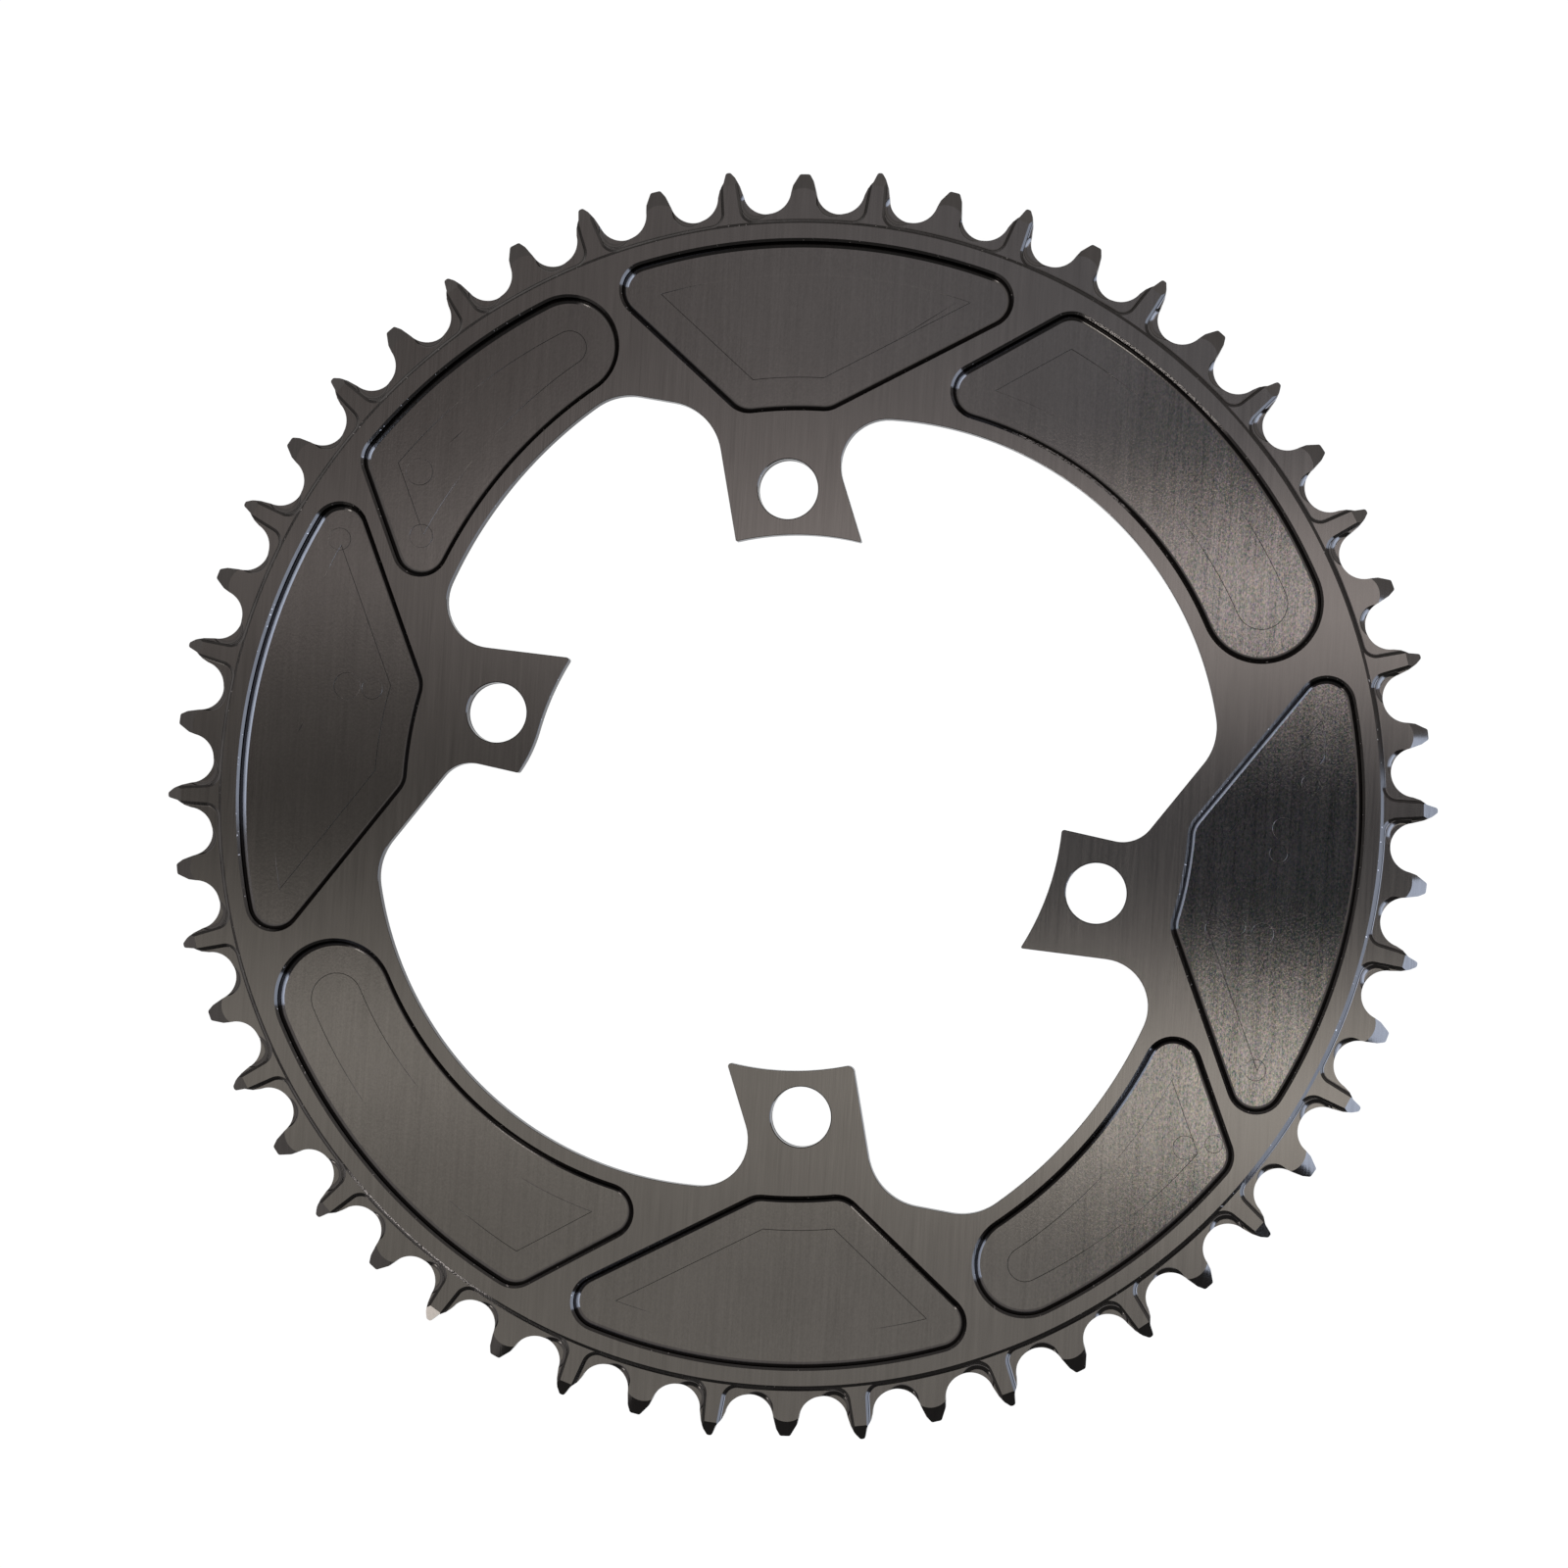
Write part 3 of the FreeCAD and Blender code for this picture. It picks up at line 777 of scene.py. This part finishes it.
def bolt_hole(angle):
    centre = polar(BOLT_CIRCLE_RADIUS, angle)
    wide = HOLE_CHAMFER + OVERCUT
    shifts = [(wide, -OVERCUT), (0.0, HOLE_CHAMFER), (0.0, PLATE_THICKNESS - HOLE_CHAMFER)]
    shifts += [(wide, PLATE_THICKNESS + OVERCUT)]
    return stack([(circle(BOLT_HOLE_RADIUS + grow, HOLE_STEPS, centre), z) for grow, z in shifts])


bolt_angles = [angle + turn for turn in (0.0, 180.0) for angle in (UPPER_BOLT, LOWER_BOLT)]
bolt_holes = together([bolt_hole(angle) for angle in bolt_angles])
print("opening:", len(outline(opening_nodes())), "points; bolt holes:", len(bolt_angles))

# %% [markdown]
# ## Machining
# The cuts are made one after the other with a Boolean modifier, whose result becomes the next step's mesh.
# The manifold solver is the quickest. It needs closed bodies that don't reach into each other within one
# cut, so pockets, lines, rings and scratches are cut in turn.


# %% Making a cut
def mesh_object(name, body):
    corners, faces = body
    mesh = bpy.data.meshes.new(name)
    mesh.from_pydata([tuple(corner) for corner in corners], [], faces)
    made = bpy.data.objects.new(name, mesh)
    bpy.context.scene.collection.objects.link(made)
    return made


def machined(piece, body, operation="DIFFERENCE"):
    """Cuts the piece by a body, or keeps only what lies in it."""
    cutter = mesh_object("cutter", body)
    modifier = piece.modifiers.new("cut", "BOOLEAN")
    modifier.object = cutter
    modifier.operation = operation
    modifier.solver = "MANIFOLD"
    result = bpy.data.meshes.new_from_object(piece.evaluated_get(bpy.context.evaluated_depsgraph_get()))
    piece.modifiers.clear()
    old = piece.data
    piece.data = result
    bpy.data.meshes.remove(old)
    bpy.data.objects.remove(cutter)


ring = mesh_object("machined_chainring", turned_blank())
machined(ring, stack([(teeth, -OVERCUT), (teeth, PLATE_THICKNESS + OVERCUT)]), "INTERSECT")
print("toothed blank:", len(ring.data.polygons), "faces")

# %% [markdown]
# The front and the back of the tooth ring are cut alike. The scoops of the seats are only on the front.

# %% Machining the tooth ring
for cuts in ([rib_recess()], tip_bevels):
    machined(ring, round_the_ring(cuts))
    machined(ring, round_the_ring([mirrored_to_back(cut) for cut in cuts]))
machined(ring, round_the_ring([seat_reliefs()]))
print("with its teeth:", len(ring.data.polygons), "faces")

# %% [markdown]
# Then come the pockets, the marks on their floors, the opening and the bolt holes.

# %% Machining the plate
for cut in (pockets, lines, rings, scratches, through_cutter(opening_nodes()), bolt_holes):
    machined(ring, cut)
print("machined ring:", len(ring.data.vertices), "corners,", len(ring.data.polygons), "faces")

# %% [markdown]
# The mesh is brought to metres. Edges sharper than the given angle stay sharp, and the normals are weighted
# by area, so that flat faces stay flat up to the foot of a fillet. Then it takes the CAD node's place.

# %% Finished mesh
SHARP_ANGLE = 9.5
MM_PER_METRE = 1000.0

ring.data.transform(Matrix.Scale(1.0 / MM_PER_METRE, 4))
ring.data.shade_smooth()
ring.data.set_sharp_from_angle(angle=math.radians(SHARP_ANGLE))
weighted = ring.modifiers.new("weighted", "WEIGHTED_NORMAL")
weighted.keep_sharp = True
weighted.weight = 100

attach(ring, "root")
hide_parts("chainring")
print("size in metres:", ring.dimensions)

# %% [markdown]
# ## Shader maths
# A material could be drawn by hand as a tree of nodes. A small class wraps a node's socket instead, so that
# a material reads like a formula, and each operator adds a node.


# %% Sockets as values
class Value:
    """A socket of a node tree that can be added, multiplied and compared."""

    def __init__(self, tree, socket):
        self.tree = tree
        self.socket = socket

    def math(self, operation, *others):
        inputs = {0: self, **dict(enumerate(others, 1))}
        return node(self.tree, "Math", {"operation": operation}, inputs)

    def __add__(self, other):
        return self.math("ADD", other)

    def __sub__(self, other):
        return self.math("SUBTRACT", other)

    def __rsub__(self, other):
        return (self * -1.0) + other

    def __mul__(self, other):
        return self.math("MULTIPLY", other)

    __radd__ = __add__
    __rmul__ = __mul__

    def __truediv__(self, other):
        return self.math("DIVIDE", other)

    def between(self, low, high, kind="LINEAR"):
        """0 below low, 1 above high, and rising between them."""
        inputs = {"Value": self, "From Min": low, "From Max": high}
        return node(self.tree, "MapRange", {"interpolation_type": kind}, inputs)

    def ramp(self, low, high):
        """0 below low, 1 above high, smooth between them."""
        return self.between(low, high, "SMOOTHSTEP")

    def other_output(self, name):
        return Value(self.tree, self.socket.node.outputs[name])


def node(tree, kind, settings=None, inputs=None, output=0):
    """Adds a shader node: its kind, its settings, then its socket values or links."""
    made = tree.nodes.new("ShaderNode" + kind)
    for name, setting in (settings or {}).items():
        setattr(made, name, setting)
    for name, given in (inputs or {}).items():
        if isinstance(given, Value):
            tree.links.new(given.socket, made.inputs[name])
        else:
            made.inputs[name].default_value = given
    return Value(tree, made.outputs[output]) if made.outputs else made


def vector_parts(vector):
    """The three numbers of a vector."""
    first = node(vector.tree, "SeparateXYZ", inputs={0: vector})
    return [first.other_output(name) for name in "XYZ"]


def new_material(name):
    material = bpy.data.materials.new(name)
    material.use_nodes = True
    material.node_tree.nodes.clear()
    return material, material.node_tree


print("operators for a number first:", [name for name in vars(Value) if name.startswith("__r")])

# %% [markdown]
# ## Anodised aluminium
# One material covers the ring, because the whole ring was anodised at once. What differs is how each
# surface was cut before. So the shader first works out where a point lies: along and across the brushing,
# from the centre, and whether it is on the face, on an edge, on a floor or in a mark.

# %% Places on the ring
BRUSH_LEAN = 3.5

material, tree = new_material("dark_anodised_aluminium")
brush_turn = (0.0, 0.0, math.radians(BRUSH_LEAN - PHOTO_TURN))
object_place = node(tree, "TexCoord", output="Object")
to_brushing = {"Vector": object_place, "Rotation": brush_turn, "Scale": (MM_PER_METRE,) * 3}
place = node(tree, "Mapping", inputs=to_brushing)
across, along, height = vector_parts(place)
radius = (across * across + along * along).math("POWER", 0.5)

on_face = height.ramp(PLATE_THICKNESS - 0.03, PLATE_THICKNESS - 0.01)
on_edge = height.ramp(WIDE_TOP + 0.02, WIDE_TOP + 0.05) * (1.0 - on_face)
on_plate = 1.0 - radius.ramp(POCKET_RADIUS, FACE_RADIUS)
on_floor = (1.0 - height.ramp(POCKET_FLOOR + 0.02, POCKET_FLOOR + 0.05)) * on_plate
in_mark = 1.0 - height.ramp(POCKET_FLOOR - 0.012, POCKET_FLOOR - 0.002)
print("masks from", len(tree.nodes), "nodes")

# %% [markdown]
# The faces were brushed in one direction, so they reflect in long fine streaks: noise stretched along the
# brushing. The pocket floors keep the shorter grain of the milling cutter. On the right side that grain gets
# painted glints: stronger light and dark specks and coloured flecks in the colour, where the light falls
# most. Broad soft clouds are what handling leaves.

# %% Brushing, grain and painted glints
GLINT_SIDE_SPAN = (40.0, 75.0)


def grain(across_per_mm, along_per_mm, detail=2.0, sharpness=0.5):
    """Noise stretched in the plane of the ring, between 0 and 1."""
    scale = (across_per_mm, along_per_mm, 1.0)
    stretched = node(tree, "Mapping", inputs={"Vector": place, "Scale": scale})
    noise = {"Vector": stretched, "Scale": 1.0, "Detail": detail, "Roughness": sharpness}
    return node(tree, "TexNoise", inputs=noise)


brushing = grain(4.0, 0.09)
broad_brushing = grain(0.8, 0.03)
cutter_grain = grain(4.4, 2.2, 2.0, 0.8)
clouds = grain(0.12, 0.10, 3.0)
streaks = (brushing - 0.5) * 0.9 + (broad_brushing - 0.5) * 0.5
# Stronger specks on the right side are painted glints: there the colour stands in for the strongest light.
painted_glint_side = across.ramp(*GLINT_SIDE_SPAN) * on_floor
grain_and_painted_glint = (cutter_grain - 0.5) * (on_floor * 0.5 + painted_glint_side * 1.9)
print("grain from", len(tree.nodes), "nodes")

# %% [markdown]
# Two stretches of the broken edges, on the upper right pocket's edge and on the lower left of the rim step,
# get a painted reflection of the lamp: bright rough metal painted into the colour in noisy bands. Small
# chips of worn anodising are spread over all the edges. Both masks are noise, cut off hard.

# %% Worn edges and painted edge highlights
LAMP_HIGHLIGHT_POCKET = {"angle": 50.0, "inside": (97.0, 97.2)}
LAMP_HIGHLIGHT_RIM = {"angle": 229.0, "outside": (98.6, 98.7)}


def towards(angle):
    """1 where the ring's edge points the given way in the photo, and 0 some ten degrees beside it."""
    way = polar(1.0, angle + BRUSH_LEAN)
    return ((across * way.real + along * way.imag) / radius).ramp(0.984, 0.991)


# These two stretches are a painted reflection of the lamp: bright metal painted into the colour.
highlight_on_pocket = towards(LAMP_HIGHLIGHT_POCKET["angle"]) * (1.0 - radius.ramp(*LAMP_HIGHLIGHT_POCKET["inside"]))
highlight_on_rim = towards(LAMP_HIGHLIGHT_RIM["angle"]) * radius.ramp(*LAMP_HIGHLIGHT_RIM["outside"])
painted_edge_highlight = on_edge * grain(6.0, 6.0, 1.0).ramp(0.42, 0.55) * (highlight_on_pocket + highlight_on_rim)
chips = on_edge * grain(2.5, 2.5, 0.0).ramp(0.78, 0.82)
wear_and_painted_highlight = painted_edge_highlight * 1.7 + chips
print("wear from", len(tree.nodes), "nodes")

# %% [markdown]
# Dark anodising is nearly a mirror with a low reflectance, so the shader is a metal with a dark tint. A
# second tint sets how much it brightens at grazing angles. Marks are rough inside: they show the average of
# the room, so they look light on a dark floor and dark on a light one, as in the photograph.

# %% Material of the ring
DARK_METAL = (0.0850, 0.0785, 0.0755)
GRAZING_TINT = (0.46, 0.465, 0.48, 1.0)
SATIN = 0.13
GRAIN_HEIGHT = 0.000008

# Towards the right, the streaks' contrast and the floor specks are painted stronger as painted glints.
contrast = 0.38 - on_floor * 0.05 + painted_glint_side * 0.6
# On the edges, part of the brightening is real wear and part is a painted lamp highlight.
reflectance = 1.0 + streaks * contrast + grain_and_painted_glint + (clouds - 0.5) * 0.12 + wear_and_painted_highlight * 3.5
roughness = SATIN + streaks * 0.04 - on_floor * 0.085 + wear_and_painted_highlight * 0.15 + in_mark * 0.45
relief = brushing * (1.0 - on_floor * 0.6) + (cutter_grain - 0.5) * on_floor * 0.8
bumps = {"Height": relief, "Strength": 1.0, "Distance": GRAIN_HEIGHT}

# The coloured flecks on the right side are painted glints.
grey = {0: cutter_grain.other_output("Color"), 1: (0.5, 0.5, 0.5)}
hues = node(tree, "VectorMath", {"operation": "SUBTRACT"}, grey)
painted_glint_hues = node(tree, "VectorMath", {"operation": "SCALE"}, {0: hues, "Scale": painted_glint_side * 0.08})
tint = node(tree, "VectorMath", {"operation": "SCALE"}, {0: DARK_METAL, "Scale": reflectance})
shader = node(tree, "BsdfPrincipled", inputs={
    "Base Color": node(tree, "VectorMath", {"operation": "ADD"}, {0: tint, 1: painted_glint_hues}),
    "Specular Tint": GRAZING_TINT,
    "Metallic": 1.0,
    "Roughness": roughness,
    "Normal": node(tree, "Bump", inputs=bumps),
})
node(tree, "OutputMaterial", inputs={"Surface": shader})
ring.data.materials.clear()
ring.data.materials.append(material)
print("material:", material.name, "with", len(tree.nodes), "nodes")

# %% [markdown]
# ## Studio
# The ring lies on white paper. To the light, the paper is a plain diffuse surface. To the camera and in
# reflections it is mostly a white glow. So the background is white without more light on the ring.

# %% Ground
GROUND_HALF = 2.0
GROUND_LEVEL = -0.00002
PAPER_COLOUR = (0.92, 0.92, 0.92, 1.0)
PAPER_WHITE = {"Color": (1.0, 1.0, 1.0, 1.0), "Strength": 1.04}
WHITE_SHARE = 0.95


def flat_piece(name, material_name, half_size, level=0.0):
    """A flat rectangle of the stage, with an empty material."""
    wide, high = half_size
    corners = [(-wide, -high, level), (wide, -high, level), (wide, high, level), (-wide, high, level)]
    piece = mesh_object(name, (corners, [[0, 1, 2, 3]]))
    material, tree = new_material(material_name)
    piece.data.materials.append(material)
    return piece, tree


ground, tree = flat_piece("white_ground", "white_paper", (GROUND_HALF, GROUND_HALF), GROUND_LEVEL)
rays = node(tree, "LightPath", output="Is Camera Ray")
seen = rays + rays.other_output("Is Glossy Ray") + rays.other_output("Is Transmission Ray")
paper = node(tree, "BsdfDiffuse", inputs={"Color": PAPER_COLOUR})
white = node(tree, "Emission", inputs=PAPER_WHITE)
mixed = node(tree, "MixShader", inputs={0: seen * WHITE_SHARE, 1: paper, 2: white})
node(tree, "OutputMaterial", inputs={"Surface": mixed})
print("ground:", ground.dimensions)

# %% [markdown]
# A mirror-like metal shows the shape of its lights, so they are glowing panels and not points. The camera
# doesn't see them itself. Their places are right and up in the photograph, and above the ground.


# %% Glowing panels
def from_photo(right, up, height=0.0):
    """A place or a direction given as right and up in the photograph, and above the ground."""
    plan = photo_place(right, up)
    return Vector((plan.real, plan.imag, height))


def panel(name, centre, across, upwards, half_size):
    """A flat panel: its middle, the ways of its sides, and its half size."""
    piece, tree = flat_piece(name, name, half_size)
    axes = Matrix((across, upwards, across.cross(upwards))).transposed()
    piece.matrix_world = Matrix.Translation(centre) @ axes.to_4x4()
    piece.visible_camera = False
    return tree


def glow(tree, colour, strength):
    shader = node(tree, "Emission", inputs={"Color": colour, "Strength": strength})
    node(tree, "OutputMaterial", inputs={"Surface": shader})


print("right in the photo:", from_photo(1.0, 0.0))

# %% [markdown]
# Over the ring hangs a scrim, lit from behind in two soft bands, with a dark gap where the camera looks
# through. Its brightness follows a smooth curve from bottom to top, through (place, brightness) stops. Three
# such curves, at the left, in the middle and at the right, are blended.

# %% Scrim
SCRIM_TILT = -3.3
SCRIM_CENTRE = (-0.075, 0.0204, 0.90)
SCRIM_HALF = (0.48, 0.36)
SCRIM_LEFT = [
    (-0.30, 1.30), (-0.24, 1.35), (-0.204, 1.25), (-0.168, 1.05), (-0.132, 1.40), (-0.097, 1.75),
    (-0.061, 1.10), (-0.025, 0.50), (0.011, 0.47), (0.046, 0.68), (0.082, 1.12), (0.118, 0.80),
    (0.154, 0.60), (0.189, 0.60), (0.25, 0.80), (0.32, 0.80),
]
SCRIM_MIDDLE = [
    (-0.30, 1.30), (-0.23, 1.30), (-0.194, 1.20), (-0.159, 1.30), (-0.123, 1.50), (-0.087, 1.80),
    (-0.051, 0.90), (-0.018, 0.40), (0.020, 0.50), (0.056, 1.40), (0.092, 2.30), (0.127, 1.50),
    (0.163, 1.05), (0.199, 0.92), (0.234, 0.90), (0.32, 0.85),
]
SCRIM_RIGHT = [
    (-0.30, 1.40), (-0.22, 1.40), (-0.185, 1.30), (-0.149, 1.50), (-0.113, 3.50), (-0.078, 3.30),
    (-0.042, 0.55), (-0.006, 0.38), (0.029, 0.42), (0.065, 2.40), (0.101, 3.20), (0.137, 0.85),
    (0.172, 0.85), (0.208, 0.85), (0.244, 0.85), (0.32, 0.85),
]
COLUMN_SPACING = 0.161
COOL, ROSY, WARM = (0.93, 0.99, 1.10, 1.0), (1.04, 0.985, 0.965, 1.0), (1.03, 1.01, 0.93, 1.0)
WARM_TO_ROSY = (-0.10, 0.12)
DARK_TO_BRIGHT = (0.3, 1.6)
LEFT_TO_RIGHT = (-0.12, 0.12)


def curve(value, stops, top=4.0):
    """A smooth curve over a value, through (place, height) stops, with heights up to the top."""
    start, end = stops[0][0], stops[-1][0]
    share = (value - start) / (end - start)
    made = value.tree.nodes.new("ShaderNodeValToRGB")
    made.color_ramp.interpolation = "CARDINAL"
    elements = made.color_ramp.elements
    for place, height in stops[1:-1]:
        elements.new((place - start) / (end - start))
    for element, (place, height) in zip(elements, stops):
        element.color = (height / top, height / top, height / top, 1.0)
    value.tree.links.new(share.socket, made.inputs[0])
    return Value(value.tree, made.outputs[0]) * top


def mixed_colour(tree, share, first, second):
    return node(tree, "Mix", {"data_type": "RGBA"}, {0: share, 6: first, 7: second}, 2)


tilt = polar(1.0, SCRIM_TILT)
ways = from_photo(tilt.real, tilt.imag), from_photo(-tilt.imag, tilt.real)
tree = panel("overhead_scrim", from_photo(*SCRIM_CENTRE), *ways, SCRIM_HALF)
right, up = vector_parts(node(tree, "TexCoord", output="Object"))[:2]
columns = [curve(up, stops) for stops in (SCRIM_LEFT, SCRIM_MIDDLE, SCRIM_RIGHT)]
to_middle, to_right = right.between(-COLUMN_SPACING, 0.0), right.between(0.0, COLUMN_SPACING)
brightness = columns[0] + (columns[1] - columns[0]) * to_middle + (columns[2] - columns[1]) * to_right
dark_right = (1.0 - brightness.ramp(*DARK_TO_BRIGHT)) * right.between(*LEFT_TO_RIGHT)
bright = mixed_colour(tree, up.ramp(*WARM_TO_ROSY), WARM, ROSY)
glow(tree, mixed_colour(tree, dark_right, bright, COOL), brightness)
print("scrim:", len(tree.nodes), "nodes")

# %% [markdown]
# A tall window on the right lights the walls that face it, with a dimmer strip near the ground. A dark
# screen on the lower side keeps the walls there black. A small lamp lights the edges on the lower left.

# %% Window, screen and lamp
UP = Vector((0.0, 0.0, 1.0))
DAYLIGHT = (0.84, 1.0, 1.28, 1.0)
NEUTRAL = (1.0, 1.0, 1.0, 1.0)
LAMPLIGHT = (1.0, 0.98, 0.93, 1.0)


def upright_light(name, centre, way, half_size, colour, strength):
    glow(panel(name, from_photo(*centre), from_photo(*way), UP, half_size), colour, strength)


upright_light("side_window", (0.60, -0.255, 0.865), (0.0, 1.0), (0.295, 0.535), DAYLIGHT, 4.8)
upright_light("window_sill", (0.60, -0.255, 0.165), (0.0, 1.0), (0.295, 0.165), DAYLIGHT, 2.6)
upright_light("dark_screen", (0.075, -0.30, 0.43), (1.0, 0.0), (0.275, 0.43), NEUTRAL, 0.12)
upright_light("small_lamp", (-0.425, -0.50, 0.29), (0.75, -0.66), (0.045, 0.06), LAMPLIGHT, 7.0)

# %% [markdown]
# The rest of the room is grey and darker towards the horizon, like a studio with a pale ceiling and dark
# curtains. It depends only on the direction, so the world's shader can give it.

# %% Room
ROOM_COLOUR = (1.0, 0.98, 0.97, 1.0)
HORIZON_GREY = 0.27
UPPER_RISE = 0.55
OVERHEAD_DROP = 0.15

world = bpy.data.worlds.new("studio")
bpy.context.scene.world = world
world.use_nodes = True
tree = world.node_tree
tree.nodes.clear()
elevation = vector_parts(node(tree, "TexCoord", output="Generated"))[2]
room = HORIZON_GREY + UPPER_RISE * elevation.ramp(0.10, 0.36) - OVERHEAD_DROP * elevation.ramp(0.5, 0.8)
sky = node(tree, "Background", inputs={"Color": ROOM_COLOUR, "Strength": room})
node(tree, "OutputWorld", inputs={"Surface": sky})
print("room:", len(tree.nodes), "nodes")

# %% [markdown]
# ## Camera
# The camera stands where the photographer's did: well above the ring and a little to its lower right. Its
# place and turn were fitted to the roller seats, the bolt holes and the walls that can be seen.

# %% Camera
CAMERA_PLACE = (0.037263, -0.051128, 0.732427)
CAMERA_TURN = (1.6732, 4.8898, -37.1535)

camera_data = bpy.data.cameras.new("camera")
camera_data.sensor_width = 36.0
camera_data.lens = 98.62
camera_data.clip_start = 0.01
camera = bpy.data.objects.new("camera", camera_data)
camera.location = CAMERA_PLACE
camera.rotation_euler = [math.radians(angle) for angle in CAMERA_TURN]
bpy.context.scene.collection.objects.link(camera)
bpy.context.scene.camera = camera
bpy.context.scene.view_settings.view_transform = "Standard"
print("angle of view:", math.degrees(camera_data.angle), "degrees")

# %% [markdown]
# ## Last update
# The view layer is updated, so that the places of all objects are current.

# %% Last update
bpy.context.view_layer.update()
